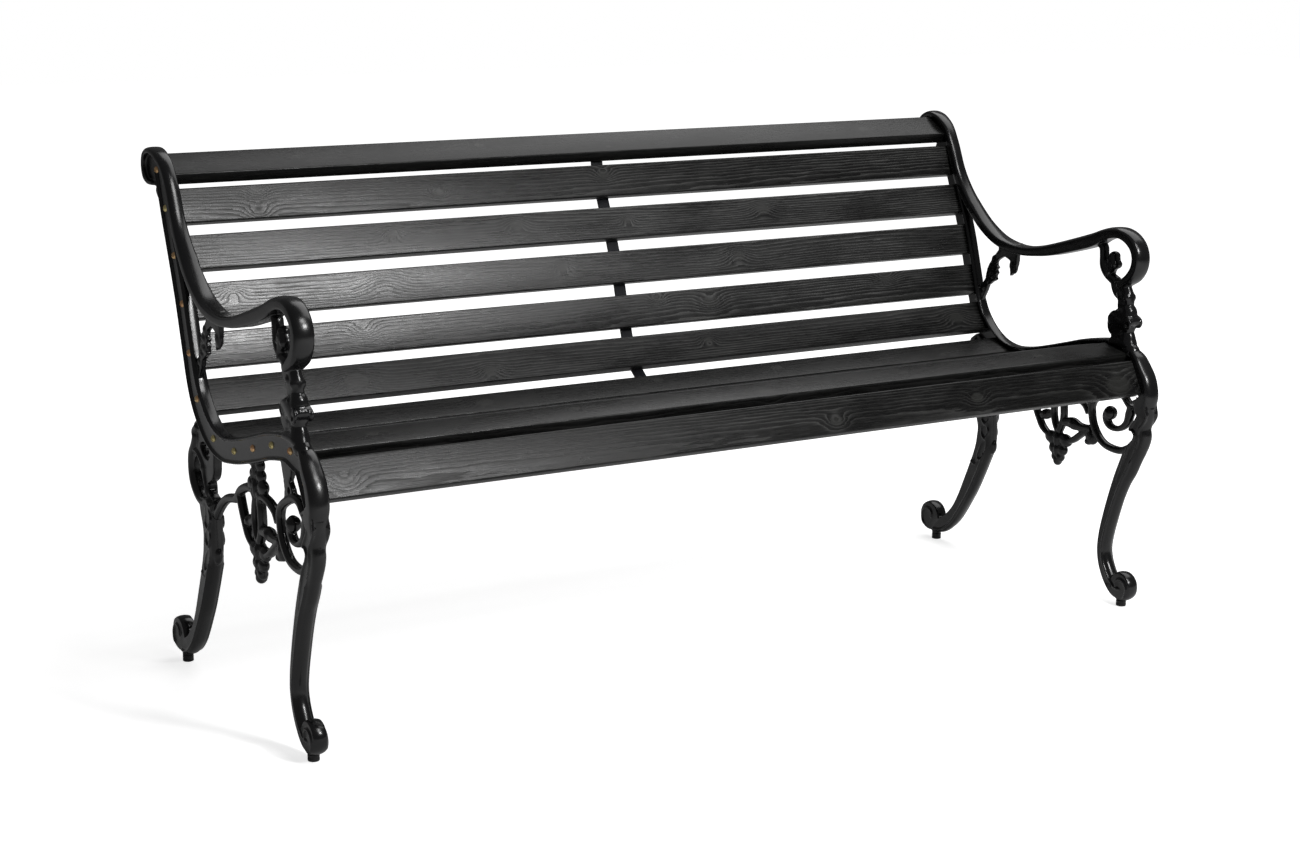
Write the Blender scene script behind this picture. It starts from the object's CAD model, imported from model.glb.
import math

import bpy
import numpy as np
from mathutils import Matrix, Vector


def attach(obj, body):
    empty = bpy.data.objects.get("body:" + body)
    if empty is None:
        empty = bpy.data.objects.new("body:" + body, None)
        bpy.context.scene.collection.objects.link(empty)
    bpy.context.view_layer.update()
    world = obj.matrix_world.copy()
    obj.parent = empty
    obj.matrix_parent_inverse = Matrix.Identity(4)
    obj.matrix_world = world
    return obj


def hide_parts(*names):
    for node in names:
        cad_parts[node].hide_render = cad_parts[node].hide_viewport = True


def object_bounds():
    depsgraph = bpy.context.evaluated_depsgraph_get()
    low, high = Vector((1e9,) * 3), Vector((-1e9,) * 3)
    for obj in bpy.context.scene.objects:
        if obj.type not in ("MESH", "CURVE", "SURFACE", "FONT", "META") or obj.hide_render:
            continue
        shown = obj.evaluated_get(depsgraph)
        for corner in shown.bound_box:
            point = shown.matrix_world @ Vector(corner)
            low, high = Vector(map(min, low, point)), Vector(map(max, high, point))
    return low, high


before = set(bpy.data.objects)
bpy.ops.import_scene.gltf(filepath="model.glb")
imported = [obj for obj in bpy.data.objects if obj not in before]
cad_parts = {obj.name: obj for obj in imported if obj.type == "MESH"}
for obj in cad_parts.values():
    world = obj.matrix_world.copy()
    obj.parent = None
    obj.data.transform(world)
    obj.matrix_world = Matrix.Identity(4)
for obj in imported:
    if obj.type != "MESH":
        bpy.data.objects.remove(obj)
solid_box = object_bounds()

# ---- Where the bench is seen from ----
# The eye stands a little over a metre high, in front of the bench and past its left end,
# and looks slightly down along the seat.
eye = Vector((-1.8479, -3.0526, 1.1150))
turn, tip, lean = math.radians(30.661), math.radians(12.417), math.radians(0.122)
ahead = Vector((math.sin(turn) * math.cos(tip), math.cos(turn) * math.cos(tip), -math.sin(tip)))
level = Vector((math.cos(turn), -math.sin(turn), 0))
over = level.cross(ahead)
across = level * math.cos(lean) + over * math.sin(lean)
upward = over * math.cos(lean) - level * math.sin(lean)
camera = bpy.data.objects.new("camera", bpy.data.cameras.new("camera"))
bpy.context.scene.collection.objects.link(camera)
facing = Matrix((across, upward, -ahead)).transposed().to_4x4()
camera.matrix_world = Matrix.Translation(eye) @ facing
camera.data.lens = 62.91
camera.data.sensor_width = 36
camera.data.clip_end = 60
bpy.context.scene.camera = camera

# ---- End frames ----
# Each end of the bench is one casting: post, seat rail, rolled arm with its volute, two
# cabriole legs on scroll feet and the open scrollwork under the seat.  It is cast in a
# sand mould, so its members flow into each other, and painted semi-gloss black.
FRAME_MID = 0.735
FRAME_WIDTH = 21.0
WEB_INNER, WEB_FACE = -1.0, 7.0
RAIL_DEPTH = 40.0
LIP_DEPTH, BEAD_WIDTH = 6.0, 3.0
FRONT_TO_MIDDLE = 271.876

# Upper edge of the post and rail in mm behind the front glide and above the ground, and
# the depth of the web below it as a share of the rail's
LIP = [
    (513, 776, 0.84), (501, 745, 0.85), (487, 708, 0.87), (467.5, 664, 0.92), (451, 628, 0.97),
    (436, 590, 1), (424, 552, 1), (412, 512, 1), (400, 474, 1), (386, 448, 1), (364, 426, 1),
    (336, 410, 1), (303, 403, 0.96), (269, 405.5, 0.94), (229, 414, 0.97), (169, 430, 1),
    (129, 441, 1), (89, 449, 1), (55, 453, 1), (24, 448, 1), (3, 438.5, 0.94), (-11, 425, 0.82),
    (-20, 405, 0.68), (-27, 387, 0.6), (-35, 368, 0.5),
]
# Outer edge of the roll from the tip of the head over the arm to the volute: thickness,
# what its width has over the roll's, and how far it lies outwards
ROLL_WIDTH = 30.0
ROLL = [
    (548, 742, 6, -6, 3), (570, 742, 7, -6, 3), (588, 750, 8, -6, 3), (595, 768, 9, -6, 3),
    (589, 788, 9, -6, 3), (568, 798.5, 9, -6, 3), (548, 797, 9.5, -6.5, 2.5), (530, 790, 11, -8, 2),
    (510, 775, 13, -9.5, 1), (491.5, 746, 15, -9.5), (471.5, 702, 16, -9), (449, 668.5, 17, -6.5),
    (422, 640, 17, -3), (391, 614.5, 17, -1), (355, 595, 17, 0), (320, 586, 17, 0),
    (285, 583, 16.5, 0), (250, 586.5, 17.5, 0), (205, 597, 21, 0), (118, 622.5, 23.5, 0),
    (85, 634, 20, 0), (61, 640, 18, 0), (35, 641.5, 18, 0), (11, 633.5, 18.5, 0),
    (-6.5, 617, 18, 0), (-13.5, 596, 17.5, 0), (-10, 574, 17.5, 0), (3, 556, 17, 0),
    (20, 546, 14, 0), (34, 540, 9, 0),
]
# Members with a rounded front: middle line, half width and what the casting's thickness
# has there over the frame's
COLUMN = [
    (40, 552, 19, -3), (35, 540, 18.5, -3), (25, 529, 13.5, -3), (25, 519, 14.5, -3),
    (26.5, 511, 12, -3), (20, 503, 15, 3), (23, 495, 19, 7), (28, 487, 25, 7), (33, 478, 26, 3),
    (30, 469, 21, 1), (27.5, 460, 22.5, 3), (27, 453, 25, 7), (27, 447, 27, 7),
]
FRONT_LEG = [
    (0, 440, 3, 0), (-11, 430, 7.5, 5), (-23, 414, 9, 8.5), (-33, 400, 9.5, 8.9),
    (-38.5, 385, 10, 8.9), (-40.5, 368, 11, 8.5), (-33, 352, 17, 7), (-36, 336, 12, 4),
    (-33, 324, 12.5, 1), (-28, 313, 16.5, 0), (-32, 302, 14, 0), (-29, 290, 14, 0),
    (-20, 277, 17, 0), (-11, 264, 18.5, 0), (0.5, 240, 18, 0), (12.5, 217, 15.5, 0),
    (25.5, 185, 13.5, 0), (37, 150, 12.5, 0), (46, 118, 11.3, 0), (50, 92, 10, 0),
    (46.5, 71, 10.5, 0), (38, 53, 11.5, 0), (27, 38, 12, 0), (14, 28, 13, 0), (-2, 26, 14, 0),
]
REAR_LEG = [
    (380, 293, 27, 0), (378, 275, 25, 0), (374, 255, 21, 0), (372, 238, 19.5, 0),
    (373, 220, 20.5, 0), (377, 203, 19.5, 0), (386, 182, 17.5, 0), (399, 155, 16.5, 0),
    (417, 120, 15, 0), (433, 93, 12.5, 0), (448.5, 70, 11.5, 0), (463, 53, 12.5, 0),
    (481, 38, 13.5, 0), (497, 30.5, 14.5, 0), (514, 30, 15.5, 0),
]
FRONT_GLIDE, REAR_GLIDE = 4.0, 514.0
BOSS_RADIUS, BOSS_LOW, BOSS_HIGH = 8.5, 10, 24
# Foot scrolls: middle and radius, and the glide they stand on
FEET = [(0, 35.5, 25.5, FRONT_GLIDE), (525, 43, 28, REAR_GLIDE)]
# Light scrolls: thickness across the bench, then middle line and half width
SCROLLS = {
    "tail behind the volute": (18, [
        (98, 612, 8), (86, 604, 6.5), (84, 590, 6), (82, 573, 7), (72, 560, 7.5), (50, 549, 9),
    ]),
    "bud in the volute": (21, [
        (68, 553, 4), (65, 565, 4.5), (62, 574, 9), (60, 583, 11), (59, 592, 7),
    ]),
    "front ring": (14, [
        (98, 328, 6.5), (94, 305, 6.5), (83, 286, 6.5), (66, 272, 6.5), (45, 266.5, 6.5),
        (20, 267, 6.5), (-2, 277, 6.5),
    ]),
    "top of the ring": (14, [
        (98, 328, 6.5), (92, 341, 6.5), (76, 351.5, 6.5), (58, 359, 6.5), (40, 364.5, 6.5),
        (22, 362, 6.5), (8, 350, 6.5), (-6, 340, 6.5),
    ]),
    "curl in the ring": (14, [
        (-2, 350, 9), (4, 332, 9), (9, 317, 7), (20, 307, 5.5), (34, 302, 5), (48, 303, 5.5),
        (57, 310, 7.5), (58, 320, 10.5), (51, 328, 11), (43, 331, 6),
    ]),
    "rear arch": (14, [
        (356, 270, 8), (341, 284, 7.5), (322, 298, 7), (303, 307.5, 7), (283, 312.5, 7),
        (262, 316.5, 7), (252, 322, 6),
    ]),
    "rear loop": (14, [
        (262, 318, 6.5), (250, 330, 7), (232, 338.5, 7), (212, 344, 7), (196, 343, 7),
        (188, 334, 6.5), (192, 320, 5.5), (194, 303, 5.5), (190, 285, 5.5), (182, 272, 6),
    ]),
    "front loop": (14, [
        (104, 316, 6), (113, 328, 6), (126, 334.5, 6), (142, 339, 6), (160, 340.5, 6),
        (171, 335, 6), (169, 318, 6), (168, 300, 6), (171, 285, 6), (178, 272, 6),
    ]),
    "rear lobe": (14, [
        (252, 326, 4), (248, 314, 6), (240, 298, 6), (231, 283, 6), (222, 271, 6), (208, 262.5, 5),
        (190, 260, 5), (176, 262, 5),
    ]),
    "front lobe": (14, [
        (100, 290, 5), (112, 282, 6), (126, 272.5, 6), (138, 264, 6), (150, 258.5, 5),
        (165, 258, 5), (178, 264, 5),
    ]),
    "rear bud": (14, [
        (192, 300, 7), (203, 297, 7.5), (214, 294.5, 9.5), (225, 291, 7),
    ]),
    "front bud": (14, [
        (166, 289, 7), (153, 291, 9), (141, 290.5, 11), (127, 288.5, 8), (112, 289, 6),
        (98, 291, 6),
    ]),
    "rim of the rear scroll": (25, [
        (404, 398, 7), (418, 388, 7.5), (417, 378, 8), (425, 364, 8.5), (436, 350, 8.5),
        (439.5, 330, 8.5), (435, 309, 8.5), (422, 294, 8.5), (405, 285, 8.5), (386, 284, 8),
        (369, 290, 8), (352, 283, 8),
    ]),
    "stalk in the rear scroll": (21, [
        (424, 358, 5), (410, 356, 5.5), (397, 348, 7), (388, 338, 9), (384, 326, 8),
        (378, 313, 5.5), (376, 298, 5),
    ]),
}
# Flat leaves and plates, by outline, and half their thickness
LEAF_MIDDLE, LEAF_SHARE, LEAF_HALF = 179.5, 0.75, 4.5
BRACKET_HALF, LINK_HALF, PLATE_HALF = 4, 4, 7
STEM_LEAF = [
    (15, 391), (16, 384), (15.5, 378), (17.5, 371), (15.5, 364), (19, 360), (25, 352), (22, 345),
    (10, 336),
]
PENDANT_LEAF = [
    (10, 268), (22, 262), (27.5, 254), (27, 246), (16, 240), (17.5, 231), (9.5, 227), (9, 217),
    (0, 210.5),
]
BRACKET = [
    (420, 470), (407, 490), (398, 502), (391, 512), (389, 521), (386, 531), (379, 542), (367, 556),
    (357, 567), (357, 585), (300, 585), (304, 566), (305, 556), (306, 547), (310.5, 539),
    (317, 530), (323, 523.5), (323.5, 533), (326, 543), (324, 551), (331, 554), (341, 557),
    (352, 552), (363, 545), (362, 538), (357, 535), (363, 530), (359, 525), (366, 518), (361, 513),
    (368, 509), (382, 503), (388, 490), (400, 470),
]
REAR_PLATE = [
    (401, 408), (414, 404), (424, 396), (424, 385), (420, 376), (430, 368), (444, 350), (447, 325),
    (440, 302), (424, 286), (405, 277), (385, 276), (365, 284), (352, 294), (368, 303), (375, 313),
    (364, 320), (352, 327), (345, 338), (343, 352), (343, 372), (372, 386),
]
REAR_HOLES = [
    [(398, 372), (384, 377), (366, 374), (359, 362), (366, 353), (382, 355), (393, 362)],
    [
        (428, 340), (416, 350), (402, 348), (396, 336), (395, 322), (385, 312), (384, 300),
        (398, 292), (414, 298), (426, 312), (431, 326),
    ],
]
CORNER_WEB = [
    (500, 745), (494, 732), (476, 690), (454, 661), (428, 636), (408, 620), (411, 610), (428, 610),
    (445, 628), (470, 690),
]
HEAD_WEB = [
    (549, 744), (580, 746), (588, 765), (578, 786), (555, 792), (530, 786), (508, 768), (500, 740),
    (505, 714), (524, 712), (542, 724), (551, 734),
]
LINK = [
    (42, 416), (46, 396), (53, 386), (44, 376), (40, 366), (58, 356), (74, 352), (71, 372),
    (74, 386), (84, 414),
]
LINK_HOLE = (55, 373, 4.5)
# Beads drawn on both faces, or on the outer one alone from OUTER_ONLY on: half width, height
# of their middle over the frame's centre plane, and their line.  They taper over their
# first and last steps.
OUTER_ONLY = 12.3
BEAD_TAPER, BEAD_END, BEAD_SWELL = 7, 0.25, 2.4
BEADS = {
    "collar of the knee": (2.6, 11.2, [
        (10, 370), (1, 357), (-7, 355), (-20, 361), (-32, 368), (-35, 375), (-31, 390),
    ]),
    "leaf of the knee": (2.1, 11.2, [
        (-7, 355), (-18, 343), (-25, 336), (-22, 329), (-8, 310), (-14, 309), (-20, 302),
        (-17, 292), (-6, 277), (0, 262), (9, 240), (18, 215),
    ]),
    "arris of the knee": (2.1, 11.2, [
        (-41, 369), (-45, 359), (-47, 345), (-47, 336), (-40, 324), (-30, 311), (-30, 294),
        (-24, 279), (-16, 260),
    ]),
    "first loop of the rear leg": (2.3, 10.8, [
        (378, 279), (375, 268), (378, 256), (367, 248), (359, 257), (358, 268), (366, 278),
    ]),
    "second loop of the rear leg": (2.3, 10.8, [
        (367, 248), (378, 240), (377, 228), (367, 221), (360, 231), (361, 241), (367, 248),
    ]),
    "third loop of the rear leg": (2.3, 10.8, [
        (364, 220), (378, 208), (386, 190), (384, 180), (374, 184), (366, 200), (364, 220),
    ]),
    "tail of the leaf": (2.1, 10.8, [(384, 180), (392, 170), (402, 170), (412, 176)]),
    "edge of the head": (1.5, 12.4, [
        (553, 746), (572, 750), (585, 760), (588, 772), (582, 784), (566, 790), (548, 789),
    ]),
    "front loop of the column": (2.2, 12.2, [
        (18, 493), (12, 497), (4, 493), (1, 485), (6, 478), (13, 480), (13, 487), (8, 488),
    ]),
    "rear loop of the column": (2.0, 12.2, [
        (38, 495), (45, 498), (52, 494), (53, 486), (47, 480), (41, 484), (44, 489),
    ]),
    "vein of the stem": (2.0, 7.5, [(182, 390), (176, 378), (184, 366), (180, 352), (180, 338)]),
}
# Round swellings on the scrollwork: place in the profile, radii along it, height over the
# centre plane and half thickness
KNOBS = [
    (189, 384, 11, 10, 0, 7), (170, 384, 11, 10, 0, 7), (191, 369, 12, 10, 0, 7.5),
    (168, 369, 12, 10, 0, 7.5), (198, 354, 15, 11, 0, 8), (161, 354, 15, 11, 0, 8),
    (190, 342, 10, 11, 0, 8), (169, 342, 10, 11, 0, 8), (179.5, 378, 6.5, 18, 0, 9.5),
    (179.5, 350, 8, 19, 0, 10), (197, 257, 17, 12, 0, 8), (162, 257, 17, 12, 0, 8),
    (179.5, 257, 9, 16, 0, 10.5), (190, 239, 12, 11, 0, 8), (169, 239, 12, 11, 0, 8),
    (179.5, 238, 7.5, 15, 0, 10), (185, 225, 9, 9, 0, 8), (174, 225, 9, 9, 0, 8),
    (179.5, 219, 8, 10, 0, 9), (62, 586, 8, 8, 0, 12), (69, 578, 7, 8, 0, 11),
    (53, 578, 7, 8, 0, 11), (59, 592, 8, 8, 0, 11), (61, 583, 12, 11, 0, 11),
    (214, 295, 9, 9, 0, 10), (141, 291, 10, 10, 0, 10), (51, 326, 12, 12, 0, 11),
    (46, 487, 9, 9, 4, 10), (9, 489, 9, 9, 4, 10), (27, 503, 9, 8, 3, 11), (34, 531, 10, 9, 2, 10),
    (18, 527, 7, 9, 2, 10), (388, 337, 10, 11, 0, 12), (316, 541, 9, 13, 0, 6),
    (368, 548, 9, 9, 0, 6), (374, 534, 11, 9, 0, 6.5), (373, 519, 11, 8, 0, 6.5),
    (383, 509, 10, 8, 0, 6.5), (396, 496, 9, 9, 0, 6), (409, 482, 8, 10, 0, 6),
    (95, 275, 15, 13, 0, 7.5), (102, 267, 8, 6.5, 0, 8), (399, 265, 18, 14, 0, 8),
    (361, 209, 12, 17, 0, 8), (10, 440, 17, 12, 0, 13),
]
# Hollows pressed into both faces: place, radii and depth.  HOLLOW_WALL is how steep they
# are; what lies within HOLLOW_FROM of the middle, in metres, stays.
HOLLOW_WALL, HOLLOW_FROM = 1.6, 0.0075
HOLLOWS = [
    (358, 290, 5, 8, 5), (28, 470, 5, 14, 2.5), (401, 176, 5, 3, 2), (497, 36, 9, 5, 2.5),
    (26, 34, 9, 6, 2.5),
]


def flowing(rows, steps=6, closed=False):
    """A smooth run through rows of up to five numbers."""
    r = np.zeros((len(rows), 5))
    for i, row in enumerate(rows):
        r[i, : len(row)] = row
    n = len(r)
    out = []
    for i in range(n if closed else n - 1):
        pick = [(i + k) % n if closed else min(max(i + k, 0), n - 1) for k in (-1, 0, 1, 2)]
        a, b, c, d = r[pick]
        for t in np.arange(steps) / steps:
            bow = (2 * a - 5 * b + 4 * c - d) * t * t / 2
            out.append(b + (c - a) * t / 2 + bow + (3 * b - a - 3 * c + d) * t ** 3 / 2)
    return np.array(out if closed else out + [r[-1]])


def right_of(path):
    """The way to the right of a path at each of its points."""
    ahead = np.zeros((len(path), 2))
    ahead[1:-1] = path[2:, :2] - path[:-2, :2]
    ahead[0], ahead[-1] = path[1, :2] - path[0, :2], path[-1, :2] - path[-2, :2]
    ahead /= np.linalg.norm(ahead, axis=1)[:, None]
    return np.stack([ahead[:, 1], -ahead[:, 0]], 1)


# Sections as shares of the half width and the half thickness
def boxed(power, count=20):
    """An oval, squarer the lower the power is."""
    turns = np.linspace(0, 2 * math.pi, count, endpoint=False)
    round_path = [(math.cos(a), math.sin(a)) for a in turns]
    return [tuple(math.copysign(abs(v) ** power, v) for v in at) for at in round_path]


def rolled(shoulder, back=0.2):
    """Square at the back, flat on both faces up to the shoulder, then round to the front."""
    corner = np.linspace(0, math.pi / 2, 4)
    round_front = np.linspace(0, math.pi, 15)
    return (
        [(-1 + 0.16 * (1 - math.cos(a)), -1 + back * (1 - math.sin(a))) for a in corner]
        + [(shoulder + (1 - shoulder) * math.sin(a) ** 0.9, -math.cos(a)) for a in round_front]
        + [(-1 + 0.16 * (1 - math.cos(a)), 1 - back * (1 - math.sin(a))) for a in corner[::-1]]
    )


class Members:
    """Collects closed members drawn in side view in mm, outer side towards +X."""

    def __init__(self):
        self.points, self.faces = [], []

    def join(self, start, m):
        """Faces between rings of m points, from the start on, and over both ends."""
        last = len(self.points) - m
        for ring in range(start, last, m):
            for j in range(m):
                a, b = ring + j, ring + (j + 1) % m
                self.faces.append((a, b, b + m, a + m))
        self.faces.append(tuple(range(start + m - 1, start - 1, -1)))
        self.faces.append(tuple(range(last, last + m)))

    def member(self, path, section, thickness):
        """A section drawn along rows of y, z, half width, extra thickness and shift."""
        side = right_of(path)
        start, m = len(self.points), len(section)
        for i, row in enumerate(path):
            wide = (thickness + row[3]) / 2
            for s, w in section:
                y, z = row[:2] + side[i] * s * row[2]
                self.points.append((w * wide + row[4], y, z))
        self.join(start, m)

    def plate(self, outline, low, high, holes=()):
        """A flat plate of the outline, with its holes, between two heights."""
        curve = bpy.data.curves.new("outline", "CURVE")
        curve.dimensions, curve.fill_mode = "2D", "BOTH"
        curve.extrude = (high - low) / 2
        for loop in [outline, *holes]:
            spline = curve.splines.new("POLY")
            spline.points.add(len(loop) - 1)
            for p, q in zip(spline.points, loop):
                p.co = (q[0], q[1], 0, 1)
            spline.use_cyclic_u = True
        holder = bpy.data.objects.new("outline", curve)
        mesh = bpy.data.meshes.new_from_object(holder)
        start = len(self.points)
        self.points += [(v.co.z + (low + high) / 2, v.co.x, v.co.y) for v in mesh.vertices]
        self.faces += [tuple(start + i for i in f.vertices) for f in mesh.polygons]
        bpy.data.objects.remove(holder)
        bpy.data.curves.remove(curve)
        bpy.data.meshes.remove(mesh)

    def knob(self, y, z, wide, high, out, thick, rings=8, count=16):
        """A round swelling."""
        start = len(self.points)
        for i in range(1, rings):
            a = math.pi * i / rings
            for j in range(count):
                b = 2 * math.pi * j / count
                along, up = math.sin(a) * math.cos(b), math.sin(a) * math.sin(b)
                self.points.append((out + thick * math.cos(a), y + wide * along, z + high * up))
        self.points += [(out + thick, y, z), (out - thick, y, z)]
        north, south = len(self.points) - 2, len(self.points) - 1
        for j in range(count):
            k = (j + 1) % count
            self.faces.append((north, start + j, start + k))
            for i in range(rings - 2):
                a = start + i * count
                self.faces.append((a + j, a + count + j, a + count + k, a + k))
            a = start + (rings - 2) * count
            self.faces.append((a + j, south, a + k))

    def crowned(self, y, z, r, width, count=48, steps=6):
        """A foot scroll: a disc whose rim is crowned."""
        start = len(self.points)
        for i in range(steps + 1):
            x = width * (i / steps - 0.5)
            ring = math.sqrt(r * r - x * x)
            for j in range(count):
                a = 2 * math.pi * j / count
                self.points.append((x, y + ring * math.cos(a), z + ring * math.sin(a)))
        self.join(start, count)


def ribbon(path, near, far):
    """A band beside a path, right of it."""
    side = right_of(path)
    one, other = path[:, :2] + side * near[:, None], path[:, :2] + side * far[:, None]
    return np.concatenate([one, other[::-1]])


def circle(y, z, r, count=24):
    turns = np.linspace(0, 2 * math.pi, count, endpoint=False)
    return [(y + r * math.cos(a), z + r * math.sin(a)) for a in turns]


# The web, the bead along its lower edge and the crowned lip along its upper edge.  The
# lip thins out where the web does, and is fuller along the post, above CROWN_FROM.
LIP_THIN, LIP_FADE = 0.6, 3.4
CROWN_LEAST, CROWN_MORE, CROWN_FROM, CROWN_OVER = 4.5, 2.2, 440, 40
casting = Members()
lip = flowing(LIP)
depth = lip[:, 2] * RAIL_DEPTH
lip_depth = np.clip((lip[:, 2] - 0.5) * RAIL_DEPTH / LIP_FADE, LIP_THIN, LIP_DEPTH)
casting.plate(ribbon(lip, 0 * depth, -depth), WEB_INNER, WEB_FACE)
crown = lip.copy()
crown[:, 2] = np.maximum(lip_depth, CROWN_LEAST) / 2
crown[:, 2] += CROWN_MORE * np.clip((lip[:, 1] - CROWN_FROM) / CROWN_OVER, 0, 1)
crown[:, :2] -= right_of(lip) * crown[:, 2:3]
casting.plate(ribbon(lip, -depth + BEAD_WIDTH, -depth), 0, FRAME_WIDTH / 2)
casting.member(crown, boxed(1), FRAME_WIDTH)
casting.plate(flowing(CORNER_WEB, 3), WEB_INNER, WEB_FACE)
casting.plate(flowing(HEAD_WEB, 4, True), WEB_INNER, WEB_FACE)
# The roll, a little fuller on its inner side where it is narrow
ROLL_NARROW, ROLL_FULLER = -3, 1.2
roll = flowing(ROLL)
roll[:, :2] -= right_of(roll) * roll[:, 2:3] / 2
roll[:, 2] /= 2
narrow = roll[:, 3] < ROLL_NARROW
roll[:, 3] += ROLL_FULLER * narrow
roll[:, 4] -= ROLL_FULLER / 2 * narrow
casting.member(roll, rolled(0.35), ROLL_WIDTH)
casting.member(flowing(COLUMN), rolled(0.3), FRAME_WIDTH)
casting.member(flowing(FRONT_LEG), rolled(0.25), FRAME_WIDTH)
casting.member(flowing(REAR_LEG), rolled(0.5), FRAME_WIDTH)
for thickness, rows in SCROLLS.values():
    casting.member(flowing(rows), boxed(0.88), thickness)
for leaf in (STEM_LEAF, PENDANT_LEAF):
    one = [(LEAF_MIDDLE + a * LEAF_SHARE, b) for a, b in leaf]
    other = [(LEAF_MIDDLE - a * LEAF_SHARE, b) for a, b in leaf[::-1]]
    casting.plate(one + other, -LEAF_HALF, LEAF_HALF)
casting.plate(BRACKET, -BRACKET_HALF, BRACKET_HALF)
casting.plate(LINK, -LINK_HALF, LINK_HALF, [circle(*LINK_HOLE, 16)])
holes = [flowing(h, 3, True) for h in REAR_HOLES]
casting.plate(flowing(REAR_PLATE, 3, True), -PLATE_HALF, PLATE_HALF, holes)
for y, z, r, glide in FEET:
    casting.crowned(y, z, r, FRAME_WIDTH)
    boss = circle(glide, 0, BOSS_RADIUS)
    start = len(casting.points)
    casting.points += [(b, a, h) for h in (BOSS_HIGH, BOSS_LOW) for a, b in boss]
    casting.join(start, len(boss))

# The arris down each leg, from a row of its list on and as far out as a share of its half
# width, and the spirals on the feet
for name, rows, share, first in (("front", FRONT_LEG, 0.36, 13), ("rear", REAR_LEG, 0.6, 5)):
    leg = flowing(rows)[first * 6 :]
    line = leg[:, :2] + right_of(leg) * leg[:, 2:3] * share
    BEADS["arris of the %s leg" % name] = (2.0, 11.2, line.tolist())
for away, (y, z, r, glide) in zip((-1, 1), FEET):
    turns = np.linspace(-1.2, 3.6, 26)
    reach = (r - 3.5) * np.linspace(1, 0.25, 26)
    spiral = [(y + away * a * math.cos(t), z + a * math.sin(t)) for a, t in zip(reach, turns)]
    BEADS["spiral over glide %d" % glide] = (2.2, 11.2, spiral)
for half, out, line in BEADS.values():
    path = flowing([(y, z, half) for y, z in line], 3)
    from_end = np.minimum(np.arange(len(path)), np.arange(len(path))[::-1])
    swell = np.clip(from_end / BEAD_TAPER, BEAD_END, 1)
    path[:, 2] *= swell
    path[:, 3] = BEAD_SWELL * half * (swell - 1)
    for face in (out, -out) if out < OUTER_ONLY else (out,):
        path[:, 4] = face
        casting.member(path, boxed(1, 8), BEAD_SWELL * half)
for row in KNOBS:
    casting.knob(*row)
    if row[4]:
        casting.knob(*row[:4], -row[4], row[5])


def plain_mesh(name, obj):
    mesh = bpy.data.meshes.new_from_object(obj.evaluated_get(bpy.context.evaluated_depsgraph_get()))
    mesh.name = name
    bpy.data.objects.remove(obj)
    return mesh


def placed(name, mesh, material):
    made = bpy.data.objects.new(name, mesh)
    bpy.context.scene.collection.objects.link(made)
    mesh.materials.clear()
    mesh.materials.append(material)
    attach(made, "root")
    return made


# All members are fused into one skin, as the melt fills the mould, and softened a little
rough = bpy.data.meshes.new("casting")
in_metres = [(x / 1000, y / 1000, z / 1000) for x, y, z in casting.points]
rough.from_pydata(in_metres, [], casting.faces)
mould = bpy.data.objects.new("casting", rough)
bpy.context.scene.collection.objects.link(mould)
remesh = mould.modifiers.new("cast", "REMESH")
remesh.mode = "VOXEL"
remesh.voxel_size = 0.0013
remesh.use_smooth_shade = True
soften = mould.modifiers.new("soften", "SMOOTH")
soften.factor, soften.iterations = 0.5, 3
fewer = mould.modifiers.new("fewer", "DECIMATE")
fewer.ratio = 0.35
cast_mesh = plain_mesh("cast", mould)
cast_points = np.zeros(len(cast_mesh.vertices) * 3)
cast_mesh.vertices.foreach_get("co", cast_points)
cast_points = cast_points.reshape(-1, 3)
for y, z, wide, high, deep in HOLLOWS:
    off_y = (cast_points[:, 1] * 1000 - y) / wide
    off_z = (cast_points[:, 2] * 1000 - z) / high
    away = off_y**2 + off_z**2
    press = np.clip(HOLLOW_WALL - HOLLOW_WALL * away, 0, 1) * deep / 1000
    for face in (1, -1):
        cast_points[:, 0] -= face * press * (cast_points[:, 0] * face > HOLLOW_FROM)
# Crumbs at the thin ends of the beads and closed bubbles inside the iron are left out
pairs = np.zeros(len(cast_mesh.edges) * 2, dtype=np.int32)
cast_mesh.edges.foreach_get("vertices", pairs)
near, far = pairs.reshape(-1, 2).T
body, spread = None, np.arange(len(cast_points))
while body is None or (spread != body).any():
    body = spread
    spread = body.copy()
    np.minimum.at(spread, near, body[far])
    np.minimum.at(spread, far, body[near])
    spread = spread[spread]
whole = body == np.bincount(body).argmax()
number = np.cumsum(whole) - 1
cast_faces = [number[list(f.vertices)].tolist() for f in cast_mesh.polygons if whole[f.vertices[0]]]
cast_points = cast_points[whole]
cast_points[:, 2] = np.minimum(cast_points[:, 2], solid_box[1][2])


def wire(tree, kind, *values, **settings):
    """A new node, with its inputs linked or set in their order."""
    made = tree.nodes.new(kind)
    for key, value in settings.items():
        setattr(made, key, value)
    for socket, value in zip(made.inputs, values):
        if isinstance(value, bpy.types.NodeSocket):
            tree.links.new(value, socket)
        elif value is not None:
            socket.default_value = value
    return made


def calc(tree, operation, *values):
    return wire(tree, "ShaderNodeMath", *values, operation=operation).outputs[0]


def times(tree, one, other):
    return calc(tree, "MULTIPLY", one, other)


def plus(tree, one, other):
    return calc(tree, "ADD", one, other)


def minus(tree, one, other):
    return calc(tree, "SUBTRACT", one, other)


def noise(tree, where, scale, detail, roughness):
    made = wire(tree, "ShaderNodeTexNoise", where, None, scale, detail, roughness)
    return made.outputs[0]


def between(tree, amount, one, other):
    """A colour that goes from one to the other with the amount."""
    return wire(tree, "ShaderNodeMix", amount, *[None] * 5, one, other, data_type="RGBA").outputs[2]


def stretch(tree, value, low, high, new_low=0.0, new_high=1.0):
    return wire(tree, "ShaderNodeMapRange", value, low, high, new_low, new_high).outputs[0]


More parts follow.
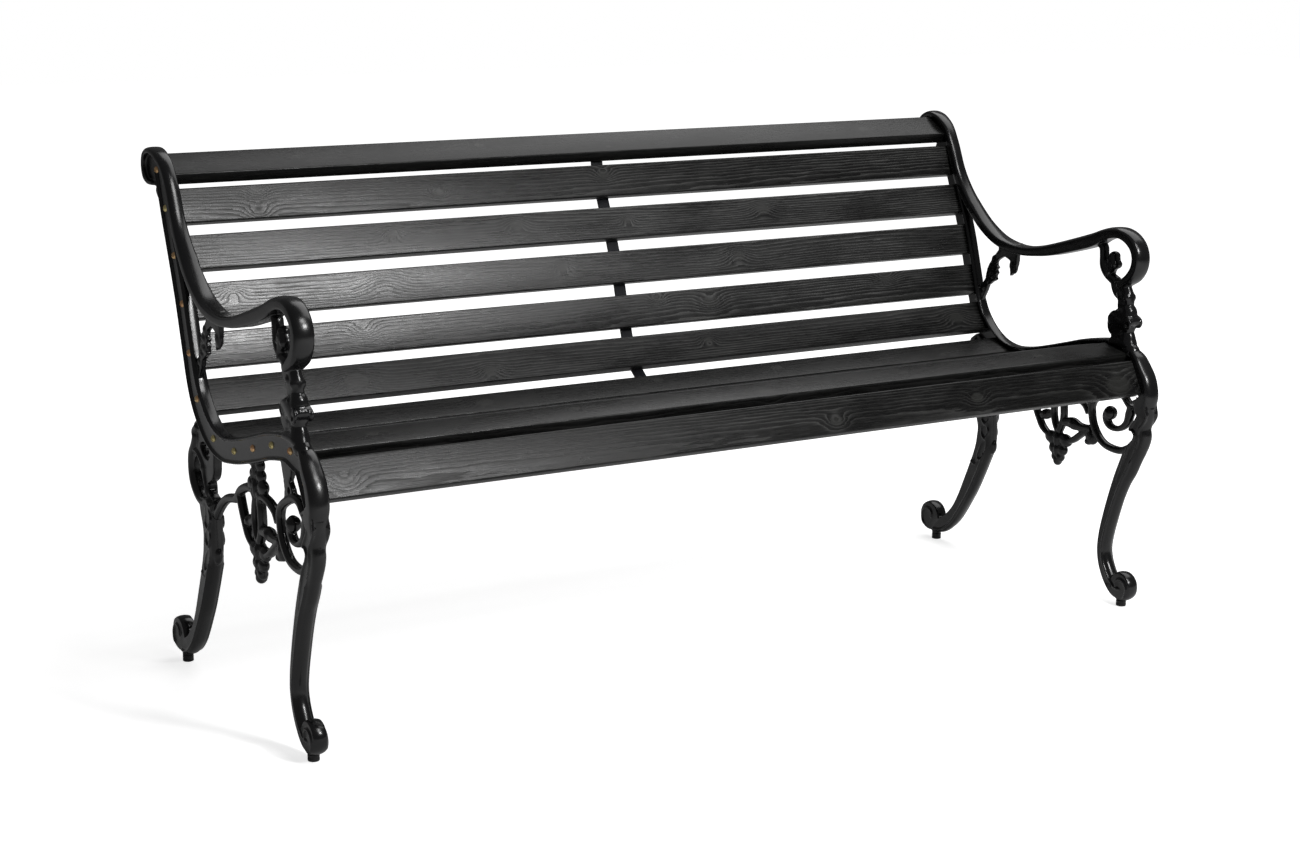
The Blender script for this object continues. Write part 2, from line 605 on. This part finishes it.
def shader_group(title, inputs, outputs):
    tree = bpy.data.node_groups.new(title, "ShaderNodeTree")
    for name, value in inputs.items():
        kind = "NodeSocketColor" if isinstance(value, tuple) else "NodeSocketFloat"
        tree.interface.new_socket(name, in_out="INPUT", socket_type=kind).default_value = value
    for name in outputs:
        kind = "NodeSocketColor" if name == "Color" else "NodeSocketFloat"
        tree.interface.new_socket(name, in_out="OUTPUT", socket_type=kind)
    return tree, tree.nodes.new("NodeGroupInput").outputs, tree.nodes.new("NodeGroupOutput").inputs


def material(name):
    made = bpy.data.materials.new(name)
    made.use_nodes = True
    tree = made.node_tree
    return made, tree, tree.nodes["Principled BSDF"].inputs


def roughened(tree, finish, height, strength, reach):
    """Lets a height stand out of the surface, by the reach in metres."""
    bump = wire(tree, "ShaderNodeBump", strength, reach)
    tree.links.new(height, bump.inputs["Height"])
    tree.links.new(bump.outputs[0], finish["Normal"])


def place_group(tree, group, **values):
    made = tree.nodes.new("ShaderNodeGroup")
    made.node_tree = group
    for key, value in values.items():
        socket = made.inputs[key.replace("_", " ")]
        if isinstance(value, bpy.types.NodeSocket):
            tree.links.new(value, socket)
        else:
            socket.default_value = value
    return made.outputs


# Brushed or sprayed paint over metal: a colour that thins on edges and gathers dust in
# patches, with the height of its fine unevenness
enamel, given, gives = shader_group(
    "Enamel skin",
    {
        "Paint": (0.004, 0.004, 0.0045, 1), "Edge": (0.05, 0.05, 0.055, 1), "Edge Amount": 0.5,
        "Grain": 900.0, "Patches": 14.0,
    },
    ["Color", "Roughness", "Height"],
)
where = enamel.nodes.new("ShaderNodeTexCoord").outputs["Object"]
fine = noise(enamel, where, given["Grain"], 3.0, 0.6)
broad = noise(enamel, where, given["Patches"], 4.0, 0.55)
bent = enamel.nodes.new("ShaderNodeNewGeometry").outputs["Pointiness"]
edge = times(enamel, stretch(enamel, bent, 0.53, 0.62), given["Edge Amount"])
dust = stretch(enamel, broad, 0.45, 0.75, 0.0, 0.5)
dusty = between(enamel, dust, given["Paint"], (0.009, 0.009, 0.0085, 1))
enamel.links.new(between(enamel, edge, dusty, given["Edge"]), gives["Color"])
enamel.links.new(stretch(enamel, broad, 0.3, 0.7, 0.16, 0.26), gives["Roughness"])
enamel.links.new(plus(enamel, times(enamel, fine, 0.35), broad), gives["Height"])


def enamelled(name, strength, reach, duller=0.0, **values):
    """A material with the enamel's skin, in its own paint and grain where they differ."""
    made, tree, finish = material(name)
    skin = place_group(tree, enamel, **values)
    tree.links.new(skin["Color"], finish["Base Color"])
    tree.links.new(plus(tree, skin["Roughness"], duller), finish["Roughness"])
    roughened(tree, finish, skin["Height"], strength, reach)
    return made


paint = enamelled("casting paint", 0.22, 0.0006)
for side, name in ((-1, "left"), (1, "right")):
    points = cast_points * (side, 1, 1) + (side * FRAME_MID, -FRONT_TO_MIDDLE / 1000, 0)
    faces = cast_faces if side > 0 else [f[::-1] for f in cast_faces]
    mesh = bpy.data.meshes.new(name + "_end_casting")
    mesh.from_pydata(points.tolist(), [], faces)
    mesh.shade_smooth()
    made = placed(name + "_end_casting", mesh, paint)
    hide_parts(name + "_end_frame")

# ---- Slats ----
# Twelve pine slats, planed with softly rounded long edges and stained black, so that the
# grain and the knots still show: the top rail, five up the back, five across the seat and
# the apron under the seat's front edge.  Each runs to the webs of the end frames.
# Middle, slope and width in mm and degrees, then how strongly the board's figure shows
# and how much sheen its stain took
SLATS = {
    "top_rail_slat": (541.493, 766.192, 29, 57.5, 0.1, 0.24),
    "back_slat_1": (508.783, 711.37, 69.4492, 54, 1.0, 0.28),
    "back_slat_2": (479.139, 643.878, 64.8463, 54, 1.0, 0.5),
    "back_slat_3": (450.966, 574.984, 71.2389, 54, 1.0, 0.66),
    "back_slat_4": (429.472, 504.097, 73.425, 54, 1.0, 0.6),
    "back_slat_5": (402.812, 438.905, 55.3127, 54, 0.9, 0.27),
    "seat_slat_5": (338.869, 390.936, 18.307, 54, 0.4, 0.28),
    "seat_slat_4": (253.54, 388.928, -11.4631, 54, 0.4, 0.28),
    "seat_slat_3": (178.047, 407.85, -15.2134, 54, 0.4, 0.28),
    "seat_slat_2": (105.027, 426.779, -11.7718, 54, 0.4, 0.28),
    "seat_slat_1": (36.9017, 431.593, 11.4829, 54, 0.4, 0.28),
    "front_apron_slat": (-14.4, 397.2, 62, 57.5, 0.8, 0.24),
}
SLAT_HALF, APRON_HALF = 0.734, 0.720
SLAT_THICKNESS, SLAT_ROUNDING = 0.020, 0.0025
# Knots of each board: place along it and across its face, and radius, in mm
KNOTS = {
    "top_rail_slat": [(-200, 8, 5), (560, 0, 6), (30, -14, 3), (-520, 4, 3)],
    "back_slat_1": [(-598, 14, 6), (-600, -17, 7), (-296, -3, 5), (8, 11, 6)],
    "back_slat_2": [(-389, 6, 6), (-170, 7, 7), (36, 1, 4), (305, 4, 8)],
    "back_slat_3": [(-418, 3, 12), (-665, 7, 6), (-102, 6, 6), (235, 1, 8)],
    "back_slat_4": [(-464, 10, 7), (65, 16, 5), (168, 3, 9), (534, 18, 8)],
    "back_slat_5": [(-490, -3, 12), (-261, -10, 7), (672, -1, 9), (150, 5, 5)],
    "seat_slat_5": [(-300, 0, 9), (250, 6, 7), (590, -12, 4), (20, 9, 5)],
    "seat_slat_4": [(-60, 10, 7), (500, -6, 8), (-430, -9, 5), (250, 4, 4)],
    "seat_slat_3": [(-480, -6, 8), (160, 4, 6), (-130, 12, 4), (620, 2, 7)],
    "seat_slat_2": [(-240, -8, 7), (420, 8, 8), (90, 3, 4), (-610, 6, 6)],
    "seat_slat_1": [(-620, 4, 6), (20, -10, 8), (560, 4, 6), (-300, 9, 5)],
    "front_apron_slat": [(387, -1, 7), (113, -9, 7), (677, -9, 14), (-689, -6, 8)],
}


def piece_tree(title, sizes):
    """An empty geometry tree that is given points, sizes and a material."""
    tree = bpy.data.node_groups.new(title, "GeometryNodeTree")
    kinds = {"Geometry": "Geometry", **dict.fromkeys(sizes, "Float"), "Material": "Material"}
    for name, kind in kinds.items():
        tree.interface.new_socket(name, in_out="INPUT", socket_type="NodeSocket" + kind)
    tree.interface.new_socket("Geometry", in_out="OUTPUT", socket_type="NodeSocketGeometry")
    return tree, tree.nodes.new("NodeGroupInput").outputs


def set_out(tree, given, piece, turned):
    """Sets a copy of the piece on each point, turned by an attribute of the point."""
    put = tree.nodes.new("GeometryNodeInstanceOnPoints")
    tree.links.new(given["Geometry"], put.inputs["Points"])
    tree.links.new(piece, put.inputs["Instance"])
    turn = wire(tree, "GeometryNodeInputNamedAttribute", turned, data_type="FLOAT_VECTOR")
    tree.links.new(turn.outputs[0], put.inputs["Rotation"])
    real = wire(tree, "GeometryNodeRealizeInstances", put.outputs[0])
    skinned = tree.nodes.new("GeometryNodeSetMaterial")
    tree.links.new(real.outputs[0], skinned.inputs["Geometry"])
    tree.links.new(given["Material"], skinned.inputs["Material"])
    tree.links.new(skinned.outputs[0], tree.nodes.new("NodeGroupOutput").inputs[0])


def made_by(tree, name, mesh, sizes):
    """The plain mesh that a tree makes of a mesh's points and the given sizes."""
    obj = bpy.data.objects.new(name, mesh)
    bpy.context.scene.collection.objects.link(obj)
    modifier = obj.modifiers.new(name, "NODES")
    modifier.node_group = tree
    for item in tree.interface.items_tree:
        if item.in_out == "INPUT" and item.name in sizes:
            modifier[item.identifier] = sizes[item.name]
    return plain_mesh(name, obj)


# A board is its section, with broken corners, drawn along a line.  Each of its points
# keeps its place in the board for the figure of the wood.
board_tree, given = piece_tree("Planed board", ["Half Length", "Width", "Thickness", "Rounding"])
end = wire(board_tree, "ShaderNodeCombineXYZ", given["Half Length"]).outputs[0]
begin = wire(board_tree, "ShaderNodeCombineXYZ", times(board_tree, given["Half Length"], -1.0))
line = wire(board_tree, "GeometryNodeCurvePrimitiveLine", begin.outputs[0], end)
outline = board_tree.nodes.new("GeometryNodeCurvePrimitiveQuadrilateral")
board_tree.links.new(given["Width"], outline.inputs[0])
board_tree.links.new(given["Thickness"], outline.inputs[1])
fillet = board_tree.nodes.new("GeometryNodeFilletCurve")
fillet.mode = "POLY"
fillet.inputs["Count"].default_value = 5
board_tree.links.new(outline.outputs[0], fillet.inputs["Curve"])
board_tree.links.new(given["Rounding"], fillet.inputs["Radius"])
board = board_tree.nodes.new("GeometryNodeCurveToMesh")
board_tree.links.new(line.outputs[0], board.inputs["Curve"])
board_tree.links.new(fillet.outputs[0], board.inputs["Profile Curve"])
board.inputs["Fill Caps"].default_value = True
keep = board_tree.nodes.new("GeometryNodeStoreNamedAttribute")
keep.data_type, keep.domain = "FLOAT_VECTOR", "POINT"
keep.inputs["Name"].default_value = "grain"
place = board_tree.nodes.new("GeometryNodeInputPosition").outputs[0]
board_tree.links.new(board.outputs[0], keep.inputs["Geometry"])
board_tree.links.new(place, keep.inputs["Value"])
set_out(board_tree, given, keep.outputs[0], "slope")

# Pine figure in a board's own metres: growth rings cut at a slant, drawn out along the
# board and bent round four knots
figure, given, gives = shader_group(
    "Pine figure",
    {"Ring Width": 0.0034, "Waver": 0.011, "Fibre": 900.0},
    ["Ring", "Knot", "Fibre", "Cloud"],
)


def attribute(tree, name):
    return wire(tree, "ShaderNodeAttribute", attribute_name=name, attribute_type="GEOMETRY").outputs


def vector(tree, x, y, z):
    return wire(tree, "ShaderNodeCombineXYZ", x, y, z).outputs[0]


def squared(tree, value):
    return times(tree, value, value)


def drawn_out(along, across, *settings):
    """Noise with its own scales along and across the board, other on every board."""
    where = vector(figure, times(figure, spot[0], along), across, shifted)
    return noise(figure, where, *settings)


spot = wire(figure, "ShaderNodeSeparateXYZ", attribute(figure, "grain")["Vector"]).outputs
number = attribute(figure, "board")["Fac"]
chance = wire(figure, "ShaderNodeTexWhiteNoise", None, number, noise_dimensions="1D")
random = wire(figure, "ShaderNodeSeparateColor", chance.outputs["Color"]).outputs
shifted = times(figure, number, 3.7)
slow = drawn_out(2.2, times(figure, spot[1], 9.0), 1.0, 3.0, 0.55)
slower = drawn_out(1.1, 0.0, 1.0, 1.0, 0.4)
# The tree's pith lies below the board, 20 to 42 mm to one side of its middle
pith_side = calc(figure, "SIGN", minus(figure, random[0], 0.5))
pith_y = times(figure, pith_side, plus(figure, times(figure, random[2], 0.022), 0.02))
from_pith = minus(figure, spot[1], pith_y)
waver = times(figure, minus(figure, slow, 0.5), given["Waver"])
from_pith = plus(figure, from_pith, waver)
below = plus(figure, times(figure, slower, 0.045), times(figure, random[1], 0.012))
below = plus(figure, below, times(figure, spot[2], 0.8))
from_pith, below = squared(figure, from_pith), squared(figure, below)
ring_radius = calc(figure, "SQRT", plus(figure, from_pith, below))
rings = calc(figure, "DIVIDE", ring_radius, given["Ring Width"])
ragged = drawn_out(14.0, times(figure, spot[1], 190.0), 1.0, 4.0, 0.6)
rings = plus(figure, rings, times(figure, ragged, 1.3))
knot_mask = None
for k in range(4):
    knot = attribute(figure, "knot_%d" % k)["Vector"]
    knot = wire(figure, "ShaderNodeSeparateXYZ", knot).outputs
    dx = squared(figure, times(figure, minus(figure, spot[0], knot[0]), 0.62))
    dy = squared(figure, minus(figure, spot[1], knot[1]))
    away = calc(figure, "DIVIDE", calc(figure, "SQRT", plus(figure, dx, dy)), knot[2])
    swell = calc(figure, "EXPONENT", times(figure, squared(figure, away), -0.3))
    rings = plus(figure, rings, times(figure, swell, 3.2))
    core = stretch(figure, away, 1.25, 0.85)
    knot_mask = core if knot_mask is None else calc(figure, "MAXIMUM", knot_mask, core)
part = calc(figure, "FRACT", rings)
late = calc(figure, "POWER", part, 4.5)
late = times(figure, late, stretch(figure, part, 1.0, 0.93))
late = times(figure, late, attribute(figure, "strength")["Fac"])
cloud = drawn_out(0.3, spot[1], 22.0, 3.0, 0.5)
late = times(figure, late, stretch(figure, cloud, 0.38, 0.6, 0.3, 1.0))
where = vector(figure, times(figure, spot[0], 0.035), spot[1], spot[2])
fibre = noise(figure, where, given["Fibre"], 3.0, 0.6)
for value, title in ((late, "Ring"), (knot_mask, "Knot"), (fibre, "Fibre"), (cloud, "Cloud")):
    figure.links.new(value, gives[title])

stain, tree, finish = material("black-stained pine")
pine = place_group(tree, figure)
cloudy = stretch(tree, pine["Cloud"], 0.3, 0.7)
tone = between(tree, cloudy, (0.002, 0.002, 0.002, 1), (0.005, 0.005, 0.0048, 1))
tone = between(tree, times(tree, pine["Ring"], 0.95), tone, (0.085, 0.085, 0.082, 1))
tone = between(tree, times(tree, pine["Knot"], 0.8), tone, (0.024, 0.024, 0.0225, 1))
threads = stretch(tree, pine["Fibre"], 0.5, 0.68, 0.0, 0.5)
tone = between(tree, threads, tone, (0.022, 0.022, 0.0213, 1))
tree.links.new(tone, finish["Base Color"])
dull = stretch(tree, pine["Cloud"], 0.3, 0.7, 0.24, 0.30)
dull = plus(tree, dull, times(tree, pine["Ring"], 0.45))
dull = plus(tree, dull, stretch(tree, pine["Fibre"], 0.5, 0.7, 0.0, 0.12))
tree.links.new(dull, finish["Roughness"])
tree.links.new(attribute(tree, "gloss")["Fac"], finish["Specular IOR Level"])
height = plus(tree, times(tree, pine["Ring"], -1.8), times(tree, pine["Fibre"], 1.8))
roughened(tree, finish, height, 0.3, 0.0003)


def note(mesh, name, kind, value):
    """Keeps a value on the first point of a mesh for its material or tree."""
    kept = mesh.attributes.new(name, kind, "POINT").data[0]
    if kind == "FLOAT":
        kept.value = value
    else:
        kept.vector = value


for k, (name, (y, z, slant, width, strength, gloss)) in enumerate(SLATS.items()):
    mesh = bpy.data.meshes.new(name)
    mesh.from_pydata([(0, (y - FRONT_TO_MIDDLE) / 1000, z / 1000)], [], [])
    note(mesh, "slope", "FLOAT_VECTOR", (math.radians(slant), 0, 0))
    note(mesh, "board", "FLOAT", k)
    note(mesh, "strength", "FLOAT", strength)
    note(mesh, "gloss", "FLOAT", gloss)
    for i, knot in enumerate(KNOTS[name]):
        note(mesh, "knot_%d" % i, "FLOAT_VECTOR", [v / 1000 for v in knot])
    sizes = {
        "Half Length": APRON_HALF if "apron" in name else SLAT_HALF,
        "Width": width / 1000,
        "Thickness": SLAT_THICKNESS,
        "Rounding": SLAT_ROUNDING,
        "Material": stain,
    }
    board_mesh = made_by(board_tree, name, mesh, sizes)
    made = placed("stained_" + name, board_mesh, stain)
    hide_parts(name)

# ---- Screws ----
# Slotted dome-headed wood screws, yellow zinc-plated: one through each end frame's web into
# every slat's end, and one through the strap into the back of every slat.
SCREW_SEAT = FRAME_MID * 1000 + WEB_FACE - 0.5
STRAP_OFFSET, STRAP_WIDTH, STRAP_THICKNESS = 10.0, 21.0, 4.0
SLAT_BACK = SLAT_THICKNESS * 500

screw_tree, given = piece_tree("Slotted screws", ["Head", "Height", "Shank", "Length", "Slot"])


def raised(tree, geometry, height):
    made = tree.nodes.new("GeometryNodeTransform")
    tree.links.new(geometry, made.inputs["Geometry"])
    tree.links.new(vector(tree, 0.0, 0.0, height), made.inputs["Translation"])
    return made.outputs[0]


def block(tree, x, y, z):
    return wire(tree, "GeometryNodeMeshCube", vector(tree, x, y, z)).outputs[0]


# The head is the cap of a ball, cut off below by a slab and slotted by a saw
head_radius = times(screw_tree, given["Head"], 0.5)
dome = plus(screw_tree, squared(screw_tree, given["Height"]), squared(screw_tree, head_radius))
dome = calc(screw_tree, "DIVIDE", dome, times(screw_tree, given["Height"], 2.0))
ball = wire(screw_tree, "GeometryNodeMeshUVSphere", 32, 24, dome).outputs[0]
ball = raised(screw_tree, ball, minus(screw_tree, given["Height"], dome))
span = times(screw_tree, given["Head"], 2.0)
slab = block(screw_tree, span, span, span)
slab = raised(screw_tree, slab, times(screw_tree, given["Head"], -1.0))
saw = block(screw_tree, span, given["Slot"], given["Height"])
saw = raised(screw_tree, saw, times(screw_tree, given["Height"], 1.05))
cut = screw_tree.nodes.new("GeometryNodeMeshBoolean")
cut.operation = "DIFFERENCE"
screw_tree.links.new(ball, cut.inputs[0])
screw_tree.links.new(slab, cut.inputs[1])
screw_tree.links.new(saw, cut.inputs[1])
shank_radius = times(screw_tree, given["Shank"], 0.5)
rod = (16, 1, 1, shank_radius, given["Length"])
shank = wire(screw_tree, "GeometryNodeMeshCylinder", *rod).outputs[0]
shank = raised(screw_tree, shank, times(screw_tree, given["Length"], -0.499))
whole = screw_tree.nodes.new("GeometryNodeJoinGeometry")
screw_tree.links.new(cut.outputs[0], whole.inputs[0])
screw_tree.links.new(shank, whole.inputs[0])
set_out(screw_tree, given, whole.outputs[0], "facing")

plating, tree, finish = material("yellow zinc plating")
where = tree.nodes.new("ShaderNodeTexCoord").outputs["Object"]
hue = noise(tree, where, 26.0, 2.0, 0.5)
tint = between(tree, stretch(tree, hue, 0.4, 0.6), (0.72, 0.62, 0.30, 1), (0.80, 0.46, 0.24, 1))
wear = noise(tree, where, 900.0, 3.0, 0.6)
tint = between(tree, stretch(tree, wear, 0.55, 0.7, 0.0, 0.6), tint, (0.35, 0.28, 0.16, 1))
tree.links.new(tint, finish["Base Color"])
tree.links.new(stretch(tree, wear, 0.35, 0.7, 0.28, 0.5), finish["Roughness"])
finish["Metallic"].default_value = 1.0
roughened(tree, finish, wear, 0.3, 0.0002)


def screw_set(name, places, sizes, replaced):
    mesh = bpy.data.meshes.new(name)
    mesh.from_pydata([[v / 1000 for v in at] for at, _ in places], [], [])
    facing = mesh.attributes.new("facing", "FLOAT_VECTOR", "POINT")
    for row, (_, turned) in zip(facing.data, places):
        row.vector = turned.to_euler()
    screws = made_by(screw_tree, name, mesh, {**sizes, "Material": plating})
    made = placed(name, screws, plating)
    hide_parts(replaced)


WEB_SCREW = {"Head": 0.0116, "Height": 0.0042, "Shank": 0.005, "Length": 0.050, "Slot": 0.0018}
STRAP_SCREW = {"Head": 0.008, "Height": 0.0022, "Shank": 0.004, "Length": 0.018, "Slot": 0.0014}
for side, name in ((-1, "left"), (1, "right")):
    outwards = Matrix.Rotation(side * math.pi / 2, 3, "Y")
    places = []
    for y, z, *_ in SLATS.values():
        driven = Matrix.Rotation(math.radians(40 * y), 3, "Z")
        places.append(((side * SCREW_SEAT, y - FRONT_TO_MIDDLE, z), outwards @ driven))
    screw_set(name + "_web_screws", places, WEB_SCREW, name + "_frame_screws")
places = []
for y, z, slant, *_ in SLATS.values():
    turned = Matrix.Rotation(math.radians(slant + 180), 3, "X")
    out = turned @ Vector((0, 0, SLAT_BACK + STRAP_THICKNESS))
    places.append(((STRAP_OFFSET, y - FRONT_TO_MIDDLE + out.y, z + out.z), turned))
screw_set("strap_fixing_screws", places, STRAP_SCREW, "strap_screws")

# ---- Strap ----
# A flat steel bar, bent to follow the backs of all twelve slats and screwed to each, keeps
# them from twisting.  Its edges are broken and it is painted black like the castings.
STRAP_BEARING, STRAP_BEND = 20.0, 5.0
STRAP_SECTION = [
    (-1, -0.94), (-0.7, -1), (0.7, -1), (1, -0.94), (1, 0.94), (0.7, 1), (-0.7, 1), (-1, 0.94),
]
front = []
for y, z, slant, *_ in SLATS.values():
    c, n = math.cos(math.radians(slant)), math.sin(math.radians(slant))
    for reach in (STRAP_BEARING, -STRAP_BEARING):
        front.append((y + reach * c + SLAT_BACK * n, z + reach * n - SLAT_BACK * c))
front = np.array(front)
line = []
for i, p in enumerate(front):
    if i in (0, len(front) - 1):
        line.append(p)
        continue
    before, after = front[i - 1] - p, front[i + 1] - p
    back_by, on_by = np.linalg.norm(before), np.linalg.norm(after)
    pull = min(STRAP_BEND, back_by / 2.2, on_by / 2.2)
    a, b = p + before / back_by * pull, p + after / on_by * pull
    for t in np.linspace(0, 1, 5):
        line.append((1 - t) ** 2 * a + 2 * t * (1 - t) * p + t * t * b)
line = np.array(line)
steps = np.zeros((len(line), 5))
steps[:, :2] = line - right_of(line) * STRAP_THICKNESS / 2
steps[:, 2] = STRAP_THICKNESS / 2
bar = Members()
bar.member(steps, STRAP_SECTION, STRAP_WIDTH)
mesh = bpy.data.meshes.new("back_strap")
at = np.array(bar.points) + (STRAP_OFFSET, -FRONT_TO_MIDDLE, 0)
mesh.from_pydata((at / 1000).tolist(), [], bar.faces)
strap_paint = enamelled(
    "strap paint", 0.3, 0.0003,
    Paint=(0.014, 0.0145, 0.018, 1), Edge_Amount=0.0, Grain=1600.0, Patches=30.0,
)
made = placed("back_strap", mesh, strap_paint)
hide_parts("centre_strap")

# ---- Glides ----
# Each foot stands on a turned black plastic glide with a groove round it, whose pin is
# pressed into the casting.
GLIDE_OUTLINE = [
    (0, 0), (7.2, 0), (8.1, 0.4), (8.5, 1.2), (8.5, 4.6), (8.0, 5.0), (8.0, 5.8), (8.5, 6.2),
    (8.5, 9.6), (8.1, 10), (4, 10), (4, 21.4), (3.4, 22), (0, 22),
]
plastic = enamelled(
    "glide plastic", 0.4, 0.0002, 0.2,
    Paint=(0.009, 0.009, 0.010, 1), Edge_Amount=0.0, Grain=2400.0, Patches=60.0,
)
TURNS = 36
rings = len(GLIDE_OUTLINE) - 2
for side, end in ((-1, "left"), (1, "right")):
    for y, row in ((FRONT_GLIDE, "front"), (REAR_GLIDE, "rear")):
        points, faces = [(0, 0, 0)], []
        for r, h in GLIDE_OUTLINE[1:-1]:
            points += [(v, w, h) for v, w in circle(0, 0, r, TURNS)]
        points.append((0, 0, GLIDE_OUTLINE[-1][1]))
        for j in range(TURNS):
            k = (j + 1) % TURNS
            faces.append((0, 1 + k, 1 + j))
            for i in range(rings - 1):
                a = 1 + i * TURNS
                faces.append((a + j, a + k, a + TURNS + k, a + TURNS + j))
            a = 1 + (rings - 1) * TURNS
            faces.append((a + j, a + k, len(points) - 1))
        mesh = bpy.data.meshes.new(end + row)
        at = np.array(points) + (side * FRAME_MID * 1000, y - FRONT_TO_MIDDLE, 0)
        mesh.from_pydata((at / 1000).tolist(), [], faces)
        made = placed("%s_%s_turned_glide" % (end, row), mesh, plastic)
        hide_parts("%s_%s_glide" % (end, row))

# ---- Floor and light ----
# A white floor that runs on behind the bench, under a broad soft light from above and a
# window-like panel in front and to the right of the bench.
white = bpy.data.materials.new("white floor")
white.use_nodes = True


def seen_or_not(tree, seen, unseen, output):
    """Lets the camera see one shader, and everything else the other."""
    path = tree.nodes.new("ShaderNodeLightPath").outputs["Is Camera Ray"]
    pick = wire(tree, "ShaderNodeMixShader", path, unseen, seen)
    tree.links.new(pick.outputs[0], tree.nodes.new(output).inputs[0])


tree = white.node_tree
tree.nodes.clear()
matte = wire(tree, "ShaderNodeBsdfDiffuse", (0.8, 0.8, 0.8, 1)).outputs[0]
where = tree.nodes.new("ShaderNodeTexCoord").outputs["Object"]
reach = wire(tree, "ShaderNodeVectorMath", where, operation="LENGTH").outputs["Value"]
glow = wire(tree, "ShaderNodeEmission", None, stretch(tree, reach, 0.8, 2.4, 0.72, 1.0))
both = wire(tree, "ShaderNodeAddShader", matte, glow.outputs[0]).outputs[0]
seen_or_not(tree, both, matte, "ShaderNodeOutputMaterial")
floor_mesh = bpy.data.meshes.new("floor")
floor_mesh.from_pydata([(-14, -14, 0), (14, -14, 0), (14, 14, 0), (-14, 14, 0)], [], [(0, 1, 2, 3)])
floor_mesh.materials.append(white)
floor = bpy.data.objects.new("floor", floor_mesh)
bpy.context.scene.collection.objects.link(floor)

world = bpy.data.worlds.new("surroundings")
bpy.context.scene.world = world
world.use_nodes = True
tree = world.node_tree
tree.nodes.clear()
dim = wire(tree, "ShaderNodeBackground", (1, 1, 1, 1), 0.12).outputs[0]
bright = wire(tree, "ShaderNodeBackground", (1, 1, 1, 1), 1.0).outputs[0]
seen_or_not(tree, bright, dim, "ShaderNodeOutputWorld")


def panel(name, at, towards, wide, high, power):
    lamp = bpy.data.lights.new(name, "AREA")
    lamp.shape = "RECTANGLE"
    lamp.size, lamp.size_y, lamp.energy = wide, high, power
    obj = bpy.data.objects.new(name, lamp)
    bpy.context.scene.collection.objects.link(obj)
    obj.location = at
    obj.rotation_euler = (Vector(at) - Vector(towards)).to_track_quat("Z", "Y").to_euler()


panel("overhead panel", (1.7, 0.6, 3.4), (0.4, 0.1, 0), 3.6, 2.6, 60)
panel("front panel", (0.74, -3.2, 2.38), (-0.3, 0, 0.5), 0.5, 0.62, 62)
panel("upper front panel", (0.4, -2.3, 3.2), (-0.3, 0, 0.5), 0.9, 0.9, 30)

bpy.context.scene.view_settings.view_transform = "Standard"
